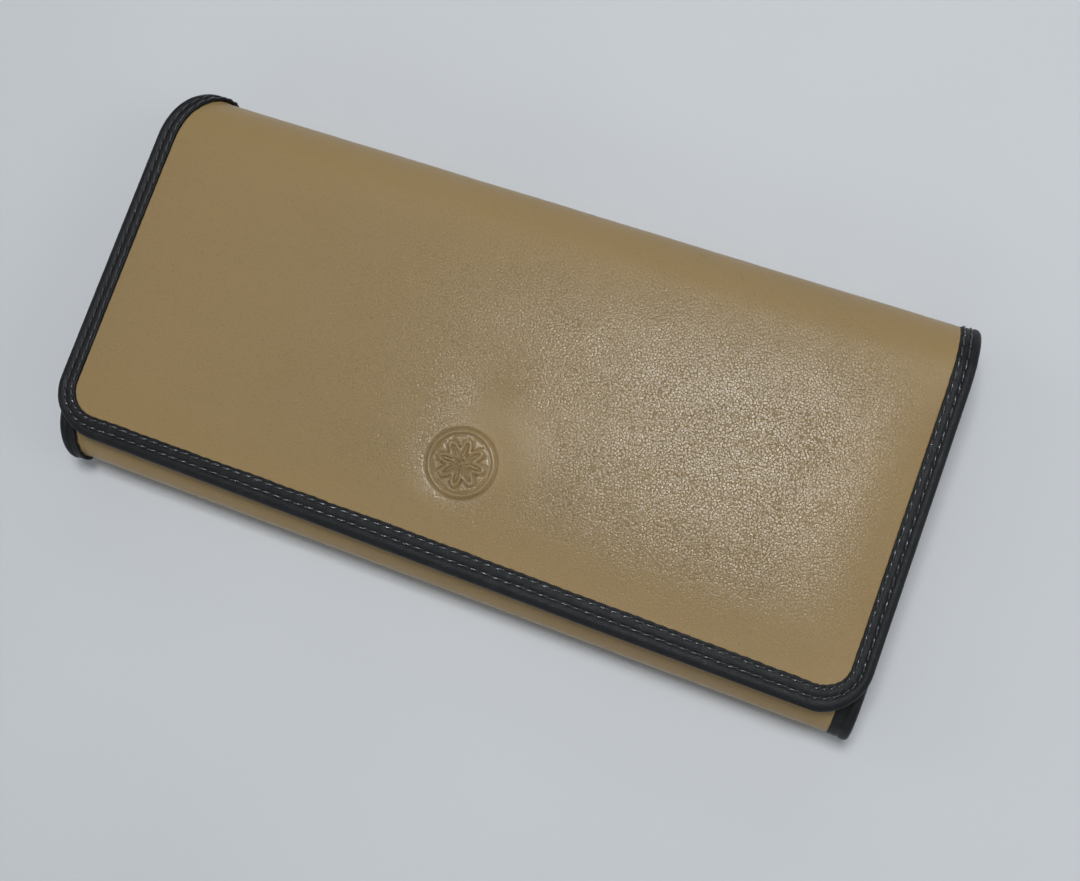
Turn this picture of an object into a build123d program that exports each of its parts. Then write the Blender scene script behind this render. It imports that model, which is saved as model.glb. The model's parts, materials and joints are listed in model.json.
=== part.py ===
from build123d import *
import math
import os

# A long flap wallet, closed and lying on its back, in millimetres. X runs along its length, +Y points to the
# top fold that the flap turns about, and +Z points up. The origin is under the middle of the back.
# The outer leather is one strip on the real wallet: flap, top fold, back, bottom fold, front.
# It is split at its folds here, because those bend when the wallet opens.

# ---- Driving dimensions ----
LENGTH = 190.0
HALF = LENGTH / 2
TOP_FOLD_Y = 34.4
TOP_FOLD_DEPTH = 10.4
FLAP_TOP = 22.0
BOTTOM_FOLD_Y = -35.1
BOTTOM_FOLD_DEPTH = 9.7
FRONT_TOP = 15.6
FLAP_EDGE_Y = -41.8
FLAP_EDGE_TOP = 19.0
FRONT_LENGTH = 55.0
FLAP_CORNER = 11.0
FRONT_CORNER = 6.0

# ---- Layers, measured in from the outer face ----
LEATHER = 1.2
BOARD_END = 1.8
STACK = 2.4
BINDING_DEPTH = 2.7
BINDING_WIDTH = 4.2
BINDING_LEG = 0.7
BINDING_WEB = 1.2

# ---- Card slots and gussets ----
CARD_LAYER = 0.5
CARD_COLUMNS = {"left": (-80.0, -1.0), "right": (1.0, 80.0)}
CARD_BASE_Y = 1.0
BACK_CARD_TOPS = (65.0, 53.0, 41.0)
FRONT_CARD_TOPS = (48.0, 36.0)
GUSSET_EDGE_X = 93.0
GUSSET_FOLD_X = 83.0
GUSSET_HALF_WALL = 0.5
GUSSET_TOP = 52.0

# ---- Coin pocket ----
POCKET_HALF = 82.0
POCKET_Y = (-34.0, 32.0)
POCKET_BASE = 4.0
POCKET_WALL = 0.5
POCKET_CAVITY = 2.2
POCKET_RIM = 1.2
MOUTH_Y = (22.0, 30.0)

# ---- Zip ----
ZIP_Y = 26.0
TAPE = 0.4
TAPE_LOW_Y = 18.0
TAPE_HIGH_Y = 30.8
TEETH_X = (-70.0, 65.6)
TOOTH_PITCH = 2.0
TOOTH_LENGTH = 0.9
TOOTH_HEIGHT = 1.6
TOOTH_ROOT = 1.1
TOOTH_MESH = 0.6
STOP_LENGTH = 2.4
STOP_GAP = 0.1
SLIDER_X = 63.0
SLIDER_LENGTH = 9.0
SLIDER_WIDTH = 7.2
SLIDER_HEIGHT = 3.8
SLIDER_PLATE = 0.8
SLIDER_FLANGE = 1.0
SLIDER_CORNER = 1.6
TAPE_SLOT = 0.8
WEDGE = (2.9, 4.3)
WEDGE_WIDTH = 1.2
BRIDGE_LENGTH = 5.0
BRIDGE_WIDTH = 1.6
BRIDGE_HEIGHT = 1.7
BRIDGE_WALL = 0.6
PIN_R = 0.4
PIN_X = -0.6
PIN_LIFT = 0.55
PULLER_LENGTH = 14.0
PULLER_WIDTH = 5.2
PULLER_HALF_THICKNESS = 0.45
PULLER_EYE_WIDTH = 2.0
PULLER_EYE_LENGTH = 2.8
PULLER_HOLE_R = 1.2

# ---- Press stud ----
SNAP_Y = 23.0
STUD_FLANGE_R = 5.0
STUD_FLANGE = 0.5
KNOB_R = 2.05
KNOB_HEIGHT = 1.6
SOCKET_R = 6.0
SOCKET_HOLE_R = 2.4
SOCKET_HOLE_END = 1.9
SOCKET_PROUD = 0.9
SPRING_R = 2.75
SPRING_WIRE_R = 0.25
POST_R = 1.3
POST_HEAD_R = 4.5
POST_HEAD = 0.4

# ---- The two slanting panels: their outer faces share one slant ----
FLAP_RUN = TOP_FOLD_Y - FLAP_EDGE_Y
SLANT = math.atan2(FLAP_TOP - FLAP_EDGE_TOP, FLAP_RUN)
FOLD_GAP = 0.15
FLAP_LENGTH = FLAP_RUN / math.cos(SLANT) - FOLD_GAP
BACK_LENGTH = TOP_FOLD_Y - BOTTOM_FOLD_Y
FLAP_PLACE = Pos(0, FLAP_EDGE_Y, FLAP_EDGE_TOP) * Rot(math.degrees(SLANT), 0, 0)
FRONT_PLACE = Pos(0, BOTTOM_FOLD_Y, FRONT_TOP) * Rot(math.degrees(SLANT), 0, 0)
BACK_PLACE = Pos(0, BOTTOM_FOLD_Y, 0)


def save(node, *solids):
    """Writes one node, which holds one or more separate solids."""
    shape = solids[0] if len(solids) == 1 else Compound(children=list(solids))
    export_step(shape, f"parts/{node}.step")


def block(x, y, z):
    """A box between two corners, given as (low, high) along each axis."""
    centre = Pos(sum(x) / 2, sum(y) / 2, sum(z) / 2)
    return centre * Box(x[1] - x[0], y[1] - y[0], z[1] - z[0])


def disc(radius, low, high, y):
    """A round plate on the press stud's line, between two heights."""
    return Pos(0, y, (low + high) / 2) * Cylinder(radius, high - low)


# ---- Bound panels: three layers whose thinned edges sit in a folded strip of binding ----


def outline(length, inset, corner=None):
    """A panel's plan. Its free end is at Y = 0 with rounded corners; with no corner both ends run into folds."""
    low = 0.0 if corner is None else inset
    plan = Pos(0, (low + length) / 2) * Rectangle(2 * (HALF - inset), length - low)
    if corner is None:
        return plan
    return fillet(plan.vertices().sort_by(Axis.Y)[:2], corner - inset)


def layer(plan, start, stop):
    """The part of a panel between two depths under its outer face, which is at Z = 0."""
    return Pos(0, 0, -stop) * extrude(plan, stop - start)


def panel(length, corner=None):
    """Leather, board, lining and binding of one panel, with its outer face at Z = 0."""
    seen = outline(length, BINDING_WIDTH, None if corner is None else max(corner, BINDING_WIDTH + 1.0))
    held = outline(length, BINDING_WEB, corner)
    edge = layer(outline(length, 0.0, corner) - seen, 0, BINDING_DEPTH)
    edge -= layer(held, BINDING_LEG, BINDING_DEPTH - BINDING_LEG)
    depths = ((0, LEATHER), (LEATHER, BOARD_END), (BOARD_END, STACK))
    leather, board, lining = (layer(held, *depth) - edge for depth in depths)
    return leather, board, lining, edge


def card_strips(tops):
    """Stepped card slots on a lining, two side by side on each step: (name of the strip, its solid)."""
    for step, top in enumerate(tops):
        depth = STACK + step * CARD_LAYER
        for side, columns in CARD_COLUMNS.items():
            yield f"{side}_{step + 1}", block(columns, (CARD_BASE_Y, top), (-depth - CARD_LAYER, -depth))


def make_back():
    leather, board, lining, edge = (BACK_PLACE * mirror(part, about=Plane.XY) for part in panel(BACK_LENGTH))
    save("back_leather", leather)
    save("back_stiffener", board)
    save("back_lining", lining)
    ends = edge.solids().sort_by(Axis.X)
    save("back_binding_left", ends[0])
    save("back_binding_right", ends[1])
    for name, strip in card_strips(BACK_CARD_TOPS):
        save(f"back_card_slot_{name}", BACK_PLACE * mirror(strip, about=Plane.XY))


# ---- Folds: half of an elliptical tube wall ----


def half_ring(fold, start, stop):
    """The wall between two depths of a fold, drawn in Y and Z. It bulges towards +Y on side 1 and -Y on side -1."""
    centre_y, half_height, depth, side = fold
    wall = Ellipse(depth - start, half_height - start) - Ellipse(depth - stop, half_height - stop)
    kept = Pos(side * depth, 0) * Rectangle(2 * depth, 4 * half_height)
    return Plane.YZ * Pos(centre_y, half_height) * (wall & kept)


def along_x(face, low, high):
    """A fold's section carried along X between two places."""
    return Pos(low, 0, 0) * extrude(face, high - low, dir=(1, 0, 0))


def make_fold(name, fold):
    """Leather, lining and the two bound ends of one fold."""
    held = HALF - BINDING_WEB
    right = along_x(half_ring(fold, 0, BINDING_DEPTH), HALF - BINDING_WIDTH, HALF)
    right -= along_x(half_ring(fold, BINDING_LEG, BINDING_DEPTH - BINDING_LEG), HALF - BINDING_WIDTH, held)
    left = mirror(right, about=Plane.YZ)
    save(f"{name}_leather", along_x(half_ring(fold, 0, LEATHER), -held, held) - right - left)
    save(f"{name}_lining", along_x(half_ring(fold, LEATHER, STACK), -held, held) - right - left)
    save(f"{name}_binding_left", left)
    save(f"{name}_binding_right", right)


# ---- Front panel, with the stud, and flap, with the socket ----


def make_front():
    turned = [Pos(0, FRONT_LENGTH, 0) * mirror(part, about=Plane.XZ) for part in panel(FRONT_LENGTH, FRONT_CORNER)]
    leather, board, lining, edge = turned
    head = (-STACK, -STACK + POST_HEAD)
    stud = disc(STUD_FLANGE_R, -STUD_FLANGE, 0, SNAP_Y) + disc(KNOB_R, 0, KNOB_HEIGHT, SNAP_Y)
    post = disc(POST_HEAD_R, *head, SNAP_Y) + disc(POST_R, head[1], -STUD_FLANGE, SNAP_Y)
    nodes = {
        "front_leather": leather - stud - post,
        "front_stiffener": board - post,
        "front_lining": lining - post,
        "front_binding": edge,
        "snap_stud": stud,
        "snap_stud_post": post,
    }
    for name, solid in nodes.items():
        save(name, FRONT_PLACE * solid)
    for name, strip in card_strips(FRONT_CARD_TOPS):
        save(f"front_card_slot_{name}", FRONT_PLACE * strip)


def make_flap():
    leather, board, lining, edge = panel(FLAP_LENGTH, FLAP_CORNER)
    rise = FLAP_EDGE_TOP - FRONT_TOP
    run = FLAP_EDGE_Y - BOTTOM_FOLD_Y
    y = SNAP_Y - run * math.cos(SLANT) - rise * math.sin(SLANT)
    socket_low = -STACK - SOCKET_PROUD
    socket = disc(SOCKET_R, socket_low, -LEATHER, y) - disc(SOCKET_HOLE_R, socket_low, -SOCKET_HOLE_END, y)
    spring_z = (socket_low - SOCKET_HOLE_END) / 2
    groove = disc(SPRING_R + SPRING_WIRE_R, spring_z - SPRING_WIRE_R, spring_z + SPRING_WIRE_R, y)
    spring = Pos(0, y, spring_z) * Torus(SPRING_R, SPRING_WIRE_R)
    post = disc(POST_HEAD_R, -LEATHER, -LEATHER + POST_HEAD, y) + disc(POST_R, -SOCKET_HOLE_END, -LEATHER, y)
    nodes = {
        "flap_leather": leather - post,
        "flap_stiffener": board - socket - post,
        "flap_lining": lining - disc(SOCKET_R, -STACK, 0, y),
        "flap_binding": edge,
        "snap_socket": socket - groove - post,
        "snap_spring": spring,
        "snap_socket_post": post,
    }
    for name, solid in nodes.items():
        save(name, FLAP_PLACE * solid)


# ---- Gussets: one pleat at each end, from the back's lining in to the coin pocket and out to the front's ----


def gusset_section(y, side):
    """The pleat's V at one place along the front panel, measured from the bottom fold."""
    low = BINDING_DEPTH
    high = FRONT_TOP + (y - BINDING_DEPTH * math.sin(SLANT)) * math.tan(SLANT) - BINDING_DEPTH / math.cos(SLANT)
    middle = (low + high) / 2
    corners = [(GUSSET_EDGE_X, low), (GUSSET_FOLD_X, middle), (GUSSET_EDGE_X, high)]
    outer = [(side * (x + GUSSET_HALF_WALL), BOTTOM_FOLD_Y + y, z) for x, z in corners]
    inner = [(side * (x - GUSSET_HALF_WALL), BOTTOM_FOLD_Y + y, z) for x, z in reversed(corners)]
    return Face(Wire.make_polygon(outer + inner))


def make_gussets():
    for side, name in ((-1, "left"), (1, "right")):
        ends = [gusset_section(y, side) for y in (0.0, GUSSET_TOP)]
        save(f"gusset_{name}", loft(ends, ruled=True))


# ---- Coin pocket with its zip ----
POCKET_FRONT = POCKET_BASE + POCKET_WALL + POCKET_CAVITY
POCKET_TOP = POCKET_FRONT + POCKET_WALL
TAPE_Z = (POCKET_FRONT - TAPE, POCKET_FRONT)
CHAIN_Z = POCKET_FRONT - TAPE / 2


def make_pocket():
    across = (-POCKET_HALF, POCKET_HALF)
    cavity = block(
        (-POCKET_HALF + POCKET_RIM, POCKET_HALF - POCKET_RIM),
        (POCKET_Y[0] + POCKET_RIM, POCKET_Y[1] - POCKET_RIM),
        (POCKET_BASE + POCKET_WALL, POCKET_FRONT),
    )
    rear = block(across, POCKET_Y, (POCKET_BASE, POCKET_FRONT)) - cavity
    top_strip = block(across, (MOUTH_Y[1], POCKET_Y[1]), (POCKET_FRONT, POCKET_TOP))
    save("coin_pocket_rear", rear + top_strip)
    save("coin_pocket_front", block(across, (POCKET_Y[0], MOUTH_Y[0]), (POCKET_FRONT, POCKET_TOP)))


def make_chain():
    """Two tapes with a row of teeth on each, closed, and the stops at the ends of the rows."""
    height = (CHAIN_Z - TOOTH_HEIGHT / 2, CHAIN_Z + TOOTH_HEIGHT / 2)
    first, last = TEETH_X
    top_stop = (SLIDER_X + SLIDER_LENGTH / 2 + 0.5, SLIDER_X + SLIDER_LENGTH / 2 + 0.5 + STOP_LENGTH)
    bottom_stop = (first - 0.1 - STOP_LENGTH, first - 0.1)
    reach = (bottom_stop[0] - 1.0, top_stop[1] + 1.0)
    count = int((last - first) / TOOTH_PITCH)
    stops = [block(bottom_stop, (ZIP_Y - TOOTH_ROOT, ZIP_Y + TOOTH_ROOT), height)]
    sides = (("lower", -1, 0.0, TAPE_LOW_Y), ("upper", 1, TOOTH_PITCH / 2, TAPE_HIGH_Y))
    for name, side, shift, far in sides:
        root = ZIP_Y + side * TOOTH_ROOT
        tip = ZIP_Y - side * TOOTH_MESH
        save(f"zip_tape_{name}", block(reach, sorted((root, far)), TAPE_Z))
        starts = [first + shift + TOOTH_PITCH * i for i in range(count)]
        teeth = [block((x, x + TOOTH_LENGTH), sorted((root, tip)), height) for x in starts]
        save(f"zip_teeth_{name}", *teeth)
        stops.append(block(top_stop, sorted((root, ZIP_Y + side * STOP_GAP)), height))
    save("zip_stops", *stops)


def make_slider():
    """Two plates joined by a wedge at the front, with flanges that hold the chain and a bridge for the puller."""
    long, wide, tall = SLIDER_LENGTH, SLIDER_WIDTH / 2, SLIDER_HEIGHT / 2
    body = fillet(Box(long, 2 * wide, 2 * tall).edges().filter_by(Axis.Z), SLIDER_CORNER)
    body -= Box(2 * long, 2 * (wide - SLIDER_FLANGE), 2 * (tall - SLIDER_PLATE))
    body -= Box(2 * long, 4 * wide, TAPE_SLOT)
    body += block(WEDGE, (-WEDGE_WIDTH / 2, WEDGE_WIDTH / 2), (-tall, tall))
    half = BRIDGE_LENGTH / 2
    top = tall + BRIDGE_HEIGHT
    bridge = block((-half, half), (-BRIDGE_WIDTH / 2, BRIDGE_WIDTH / 2), (tall, top))
    bridge = fillet(bridge.edges().filter_by(Axis.Y).group_by(Axis.Z)[-1], BRIDGE_WALL)
    bridge -= block((BRIDGE_WALL - half, half - BRIDGE_WALL), (-wide, wide), (tall, top - BRIDGE_WALL))
    save("zip_slider", Pos(SLIDER_X, ZIP_Y, CHAIN_Z) * (body + bridge))


def make_puller():
    """A flat tab lying back along the chain, whose eye passes through the slider's bridge."""
    half = PULLER_WIDTH / 2
    thick = (-PULLER_HALF_THICKNESS, PULLER_HALF_THICKNESS)
    tab = block((-PULLER_LENGTH, 0), (-half, half), thick)
    tab = fillet(tab.edges().filter_by(Axis.Z).group_by(Axis.X)[0], half - 0.4)
    tab += Rot(90, 0, 0) * Cylinder(PULLER_HALF_THICKNESS, PULLER_WIDTH)
    eye = PULLER_EYE_WIDTH / 2
    tab -= block((-PULLER_EYE_LENGTH, 1.0), (-eye, eye), (-1.0, 1.0))
    tab -= Pos(half - PULLER_LENGTH, 0, 0) * Cylinder(PULLER_HOLE_R, 2.0)
    tab += Rot(90, 0, 0) * Cylinder(PIN_R, PULLER_WIDTH)
    pin_z = CHAIN_Z + SLIDER_HEIGHT / 2 + PIN_LIFT
    save("zip_puller", Pos(SLIDER_X + PIN_X, ZIP_Y, pin_z) * tab)


def main():
    os.makedirs("parts", exist_ok=True)
    make_back()
    make_fold("top_fold", (TOP_FOLD_Y, FLAP_TOP / 2, TOP_FOLD_DEPTH, 1))
    make_fold("bottom_fold", (BOTTOM_FOLD_Y, FRONT_TOP / 2, BOTTOM_FOLD_DEPTH, -1))
    make_front()
    make_flap()
    make_gussets()
    make_pocket()
    make_chain()
    make_slider()
    make_puller()


main()
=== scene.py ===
import json
import math

import bmesh
import bpy
import numpy as np
from mathutils import Matrix, Vector


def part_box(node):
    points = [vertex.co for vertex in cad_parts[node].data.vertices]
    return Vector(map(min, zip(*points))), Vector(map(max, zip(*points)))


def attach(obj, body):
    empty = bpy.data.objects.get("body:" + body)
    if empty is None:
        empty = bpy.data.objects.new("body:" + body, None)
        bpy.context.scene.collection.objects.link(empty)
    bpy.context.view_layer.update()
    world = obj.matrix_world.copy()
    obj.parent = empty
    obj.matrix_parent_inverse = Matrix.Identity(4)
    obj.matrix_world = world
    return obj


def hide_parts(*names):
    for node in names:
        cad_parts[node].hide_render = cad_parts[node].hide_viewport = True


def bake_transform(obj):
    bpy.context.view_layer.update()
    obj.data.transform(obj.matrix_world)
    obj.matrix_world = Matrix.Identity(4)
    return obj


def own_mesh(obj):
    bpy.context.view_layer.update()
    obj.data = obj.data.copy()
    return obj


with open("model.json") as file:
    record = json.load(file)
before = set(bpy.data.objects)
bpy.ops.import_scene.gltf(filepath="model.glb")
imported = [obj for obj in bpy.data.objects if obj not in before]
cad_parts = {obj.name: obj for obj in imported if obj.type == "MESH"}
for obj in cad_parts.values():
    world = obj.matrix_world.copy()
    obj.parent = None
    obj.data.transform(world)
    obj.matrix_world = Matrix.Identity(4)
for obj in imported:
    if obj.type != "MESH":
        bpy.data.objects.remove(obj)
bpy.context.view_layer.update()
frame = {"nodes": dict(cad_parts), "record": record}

# A long flap wallet, closed and lying on its back. Lengths are in millimetres until place() scales them.
# Each panel is worked out flat, as a plan of X and of the distance v from the panel's free edge, and then
# carried onto a rail: the line in Y and Z that the panel's outer face follows over its fold.
MM = 0.001
random_numbers = np.random.default_rng(7)


def box_mm(node):
    low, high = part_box(node)
    return np.array(low) / MM, np.array(high) / MM


# ---- Sizes from the frame ----
flap_low, flap_high = box_mm("flap_binding")
front_high = box_mm("front_binding")[1]
top_low, top_high = box_mm("top_fold_leather")
bottom_low, bottom_high = box_mm("bottom_fold_leather")
back_low, back_high = box_mm("back_binding_left")
lining_low, lining_high = box_mm("back_lining")
HALF = flap_high[0]
BINDING_DEPTH = back_high[2]
BINDING_WIDTH = back_high[0] - back_low[0]
TOP_Y, TOP_DEPTH, TOP_HEIGHT = top_low[1], top_high[1] - top_low[1], top_high[2]
BOTTOM_Y, BOTTOM_DEPTH, BOTTOM_HEIGHT = bottom_high[1], bottom_high[1] - bottom_low[1], bottom_high[2]
FLAP_EDGE = (flap_low[1], flap_low[2] + BINDING_DEPTH)
FRONT_EDGE = (front_high[1], front_high[2])
STACK = lining_high[2]
LINING = lining_low[2]
LEATHER = box_mm("back_leather")[1][2]
FLAP_FLAT = math.hypot(TOP_Y - FLAP_EDGE[0], TOP_HEIGHT - FLAP_EDGE[1])
FRONT_FLAT = math.hypot(FRONT_EDGE[0] - BOTTOM_Y, BOTTOM_HEIGHT - FRONT_EDGE[1])
SLANT = math.atan2(TOP_HEIGHT - FLAP_EDGE[1], TOP_Y - FLAP_EDGE[0])

# ---- Details that the frame leaves to the looks ----
FLAP_CORNER = 11.0
FRONT_CORNER = 6.0
# How far the left and the right end of each fold draw in, and how far before the fold that starts.
PULL_IN = {"top": (5.4, 1.0), "bottom": (3.4, 0.0)}
PULL_START = {"top": 5.0, "bottom": 8.0}
# How far the left end's binding stands out over the folds.
END_PROUD = 1.0
# How much fuller the top fold is at its middle, and how much more at its right end.
FOLD_FULL = (0.2, 0.6)
# How much higher the flap's edge lies at its left end, and how far from the edge that still shows.
EDGE_SKEW = 1.0
SKEW_REACH = 40.0
STITCH = 2.6
STEP = STITCH / 8
# Leather drops by TUCKED under a binding. Linings end HELD in from the rim, thinned to LINING_HELD.
TUCK_START = BINDING_WIDTH + 0.45
TUCK_END = BINDING_WIDTH - 0.05
TUCKED = 0.8
HELD = 1.35
LINING_HELD = 1.95
MOTIF_Y = -18.7
MOTIF = (0.0, (MOTIF_Y - FLAP_EDGE[0]) / math.cos(SLANT))
MOTIF_REACH = 8.4
SNAP_REACH = 6.5


def smooth(value):
    value = np.clip(value, 0, 1)
    return value * value * (3 - 2 * value)


def mound(x, y, centre, radii, turn=0.0, steep=2):
    """A soft rise of height 1 at a centre, with its own two radii, a turn in degrees and a steepness."""
    c, s = math.cos(math.radians(turn)), math.sin(math.radians(turn))
    dx, dy = x - centre[0], y - centre[1]
    return np.exp(-np.hypot((dx * c + dy * s) / radii[0], (-dx * s + dy * c) / radii[1]) ** steep)


def metres(x, y, z):
    """Points in metres from arrays of X, Y and Z in millimetres."""
    return np.stack(np.broadcast_arrays(x, y, z), axis=-1) * MM


# ---- Rails and places ----


def distances(points):
    """How far along a line each of its points lies."""
    return np.concatenate([[0], np.cumsum(np.hypot(*np.diff(points, axis=0).T))])


def along(places, run, rows):
    """Rows of two values, given at the distances in run, read off at other places along the line."""
    return np.column_stack([np.interp(places, run, column) for column in rows.T])


class Rail:
    """The line of an outer face in Y and Z, from a free edge over a fold, with its corners eased."""

    def __init__(self, points, side, ease=2.0, spacing=0.1):
        points = np.array(points, float)
        run = distances(points)
        self.length = run[-1]
        self.v = np.linspace(0, self.length, int(self.length / spacing) + 1)
        steps = np.diff(along(self.v, run, points), axis=0)
        heading = np.unwrap(np.arctan2(steps[:, 1], steps[:, 0]))
        reach = int(3 * ease / spacing)
        kernel = np.exp(-0.5 * (np.arange(-reach, reach + 1) * spacing / ease) ** 2)
        heading = np.convolve(np.pad(heading, reach, mode="edge"), kernel / kernel.sum(), mode="valid")
        size = self.v[1] - self.v[0]
        moves = np.column_stack([np.cos(heading), np.sin(heading)]) * size
        eased = points[0] + np.vstack([[0, 0], np.cumsum(moves, axis=0)])
        self.line = eased + (points[-1] - eased[-1]) * (self.v / self.length)[:, None]
        heading = np.append(heading, heading[-1])
        self.normal = side * np.column_stack([-np.sin(heading), np.cos(heading)])

    def at(self, v, depth):
        """Y and Z at a distance along the rail and a depth under the outer face."""
        y = np.interp(v, self.v, self.line[:, 0]) - depth * np.interp(v, self.v, self.normal[:, 0])
        z = np.interp(v, self.v, self.line[:, 1]) - depth * np.interp(v, self.v, self.normal[:, 1])
        return y, z


def fold_arc(fold, half_height, depth, side):
    """Half an ellipse from the top of a fold round to the back's outer face."""
    turn = np.linspace(0, math.pi, 180)
    return np.column_stack([fold + side * depth * np.sin(turn), half_height * (1 + np.cos(turn))])


FLAP = Rail([FLAP_EDGE, *fold_arc(TOP_Y, TOP_HEIGHT / 2, TOP_DEPTH, 1)], 1)
FRONT = Rail([FRONT_EDGE, *fold_arc(BOTTOM_Y, BOTTOM_HEIGHT / 2, BOTTOM_DEPTH, -1)], -1)
BACK = Rail([(TOP_Y, 0.0), (BOTTOM_Y, 0.0)], 1)


def place(rail, x, v, depth):
    """Points in metres. The folds' ends draw in, the top fold is fuller to the right, the flap is askew."""
    if rail is FLAP:
        v = v + EDGE_SKEW * (1 - x / HALF) / 2 * smooth(1 - v / SKEW_REACH)
    y = rail.at(v, 0)[0]
    share = np.clip((y - TOP_Y) / TOP_DEPTH, 0, 1)
    share = share + np.clip((BOTTOM_Y - y) / BOTTOM_DEPTH, 0, 1) * (rail is FRONT)
    bound = smooth((BINDING_WIDTH + 0.6 - HALF - x) / 0.8)
    y, z = rail.at(v, depth - END_PROUD * bound * smooth(share))
    starts = PULL_START["top"], 0 if rail is FLAP else PULL_START["bottom"]
    top = np.clip((y - TOP_Y + starts[0]) / (TOP_DEPTH + starts[0]), 0, 1.1) ** 2
    bottom = np.clip((BOTTOM_Y + starts[1] - y) / (BOTTOM_DEPTH + starts[1]), 0, 1.1) ** 2
    pull = [np.where(x < 0, *PULL_IN[name]) / HALF for name in ("top", "bottom")]
    full = np.clip((y - TOP_Y) / TOP_DEPTH, 0, 1.1) ** 2
    y = y + (FOLD_FULL[0] + FOLD_FULL[1] * x / HALF) * full
    x = x * (1 - pull[0] * top - pull[1] * bottom)
    return metres(x, y, z)


def route(corners, radius, closed=False, step=STEP):
    """Even points along straight runs joined by round corners: plan points, inward normals and distances."""
    corners = [np.array(corner, float) for corner in corners]
    count = len(corners)
    turn = np.linspace(0, math.pi / 2, 24)[:, None]
    pieces = [] if closed else [[corners[0]]]
    for k in range(0 if closed else 1, count if closed else count - 1):
        come = corners[k] - corners[k - 1]
        go = corners[(k + 1) % count] - corners[k]
        come, go = come / np.hypot(*come), go / np.hypot(*go)
        centre = corners[k] + radius * (go - come)
        pieces.append(centre + radius * (come * np.sin(turn) - go * np.cos(turn)))
    pieces.append([pieces[0][0]] if closed else [corners[-1]])
    points = np.vstack(pieces)
    run = distances(points)
    s = np.linspace(0, run[-1], max(2, round(run[-1] / step) + 1))
    points = along(s, run, points)
    heading = np.gradient(points, axis=0)
    heading /= np.hypot(heading[:, 0], heading[:, 1])[:, None]
    return points, np.column_stack([-heading[:, 1], heading[:, 0]]), s


# ---- Meshes ----
MATERIALS = {}


def make_piece(name, points, faces, slot, body):
    """A mesh object from an array of points and lists of faces, closed and facing outward."""
    mesh = bpy.data.meshes.new(name)
    mesh.from_pydata(np.asarray(points).reshape(-1, 3).tolist(), [], faces)
    work = bmesh.new()
    work.from_mesh(mesh)
    bmesh.ops.delete(work, geom=[v for v in work.verts if not v.link_faces], context="VERTS")
    bmesh.ops.recalc_face_normals(work, faces=work.faces)
    work.to_mesh(mesh)
    work.free()
    mesh.polygons.foreach_set("use_smooth", [True] * len(mesh.polygons))
    mesh.set_sharp_from_angle(angle=math.radians(50))
    piece = bpy.data.objects.new(name, mesh)
    bpy.context.collection.objects.link(piece)
    piece.data.materials.append(MATERIALS[slot])
    if body in BENDS:
        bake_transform(piece)
    else:
        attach(piece, body)
    return piece


def quads(*corners):
    return np.column_stack([np.ravel(corner) for corner in corners]).tolist()


def slab(upper, lower, kept=None):
    """Points and faces of a closed slab between two grids of points, over all cells or the kept ones."""
    rows, cols = upper.shape[:2]
    if kept is None:
        kept = np.ones((rows - 1, cols - 1), bool)
    index = np.arange(rows * cols).reshape(rows, cols)
    under = index + rows * cols
    i, j = np.nonzero(kept)
    faces = quads(index[i, j], index[i + 1, j], index[i + 1, j + 1], index[i, j + 1])
    faces += quads(under[i, j], under[i, j + 1], under[i + 1, j + 1], under[i + 1, j])
    framed = np.pad(kept, 1)
    sides = (
        ((-1, 0), (0, 0), (0, 1)), ((1, 0), (1, 1), (1, 0)),
        ((0, -1), (1, 0), (0, 0)), ((0, 1), (0, 1), (1, 1)),
    )
    for (di, dj), p, q in sides:
        beside = framed[1 + di:rows + di, 1 + dj:cols + dj]
        i, j = np.nonzero(kept & ~beside)
        p, q = (i + p[0], j + p[1]), (i + q[0], j + q[1])
        faces += quads(index[p], index[q], under[q], under[p])
    return np.concatenate([upper.reshape(-1, 3), lower.reshape(-1, 3)]), faces


def grid_lines(low, high, step, *windows):
    """Places from low to high, a step apart, and closer inside each window (start, end, finer step)."""
    values = [low]
    while values[-1] < high:
        finer = [fine for start, end, fine in windows if start - step < values[-1] < end]
        values.append(min(high, values[-1] + min([step, *finer])))
    return np.array(values)


def sheet(name, rail, body, slot, xs, vs, top, bottom, corner=0.0, hole=None):
    """A closed sheet between two depths under a rail, as functions of x, v and distance from the edge."""
    gx, gv = np.meshgrid(xs, vs, indexing="ij")
    inset = HALF - np.abs(gx) if not corner else np.minimum(HALF - np.abs(gx), gv)
    p, q = np.abs(gx) - (HALF - corner), corner - gv
    turned = (p > 0) & (q > 0)
    scale = np.where(turned, np.maximum(p, q) / np.maximum(np.hypot(p, q), 1e-9), 1.0)
    x = np.where(turned, np.sign(gx) * (HALF - corner + p * scale), gx)
    v = np.where(turned, corner - q * scale, gv)
    kept = None
    if hole:
        middle_x = (x[:-1, :-1] + x[1:, 1:]) / 2
        middle_v = (v[:-1, :-1] + v[1:, 1:]) / 2
        kept = np.hypot(middle_x - hole[0], middle_v - hole[1]) > hole[2]
    upper = place(rail, x, v, top(x, v, inset))
    lower = place(rail, x, v, bottom(x, v, inset))
    return make_piece(name, *slab(upper, lower, kept), slot, body)


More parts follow.
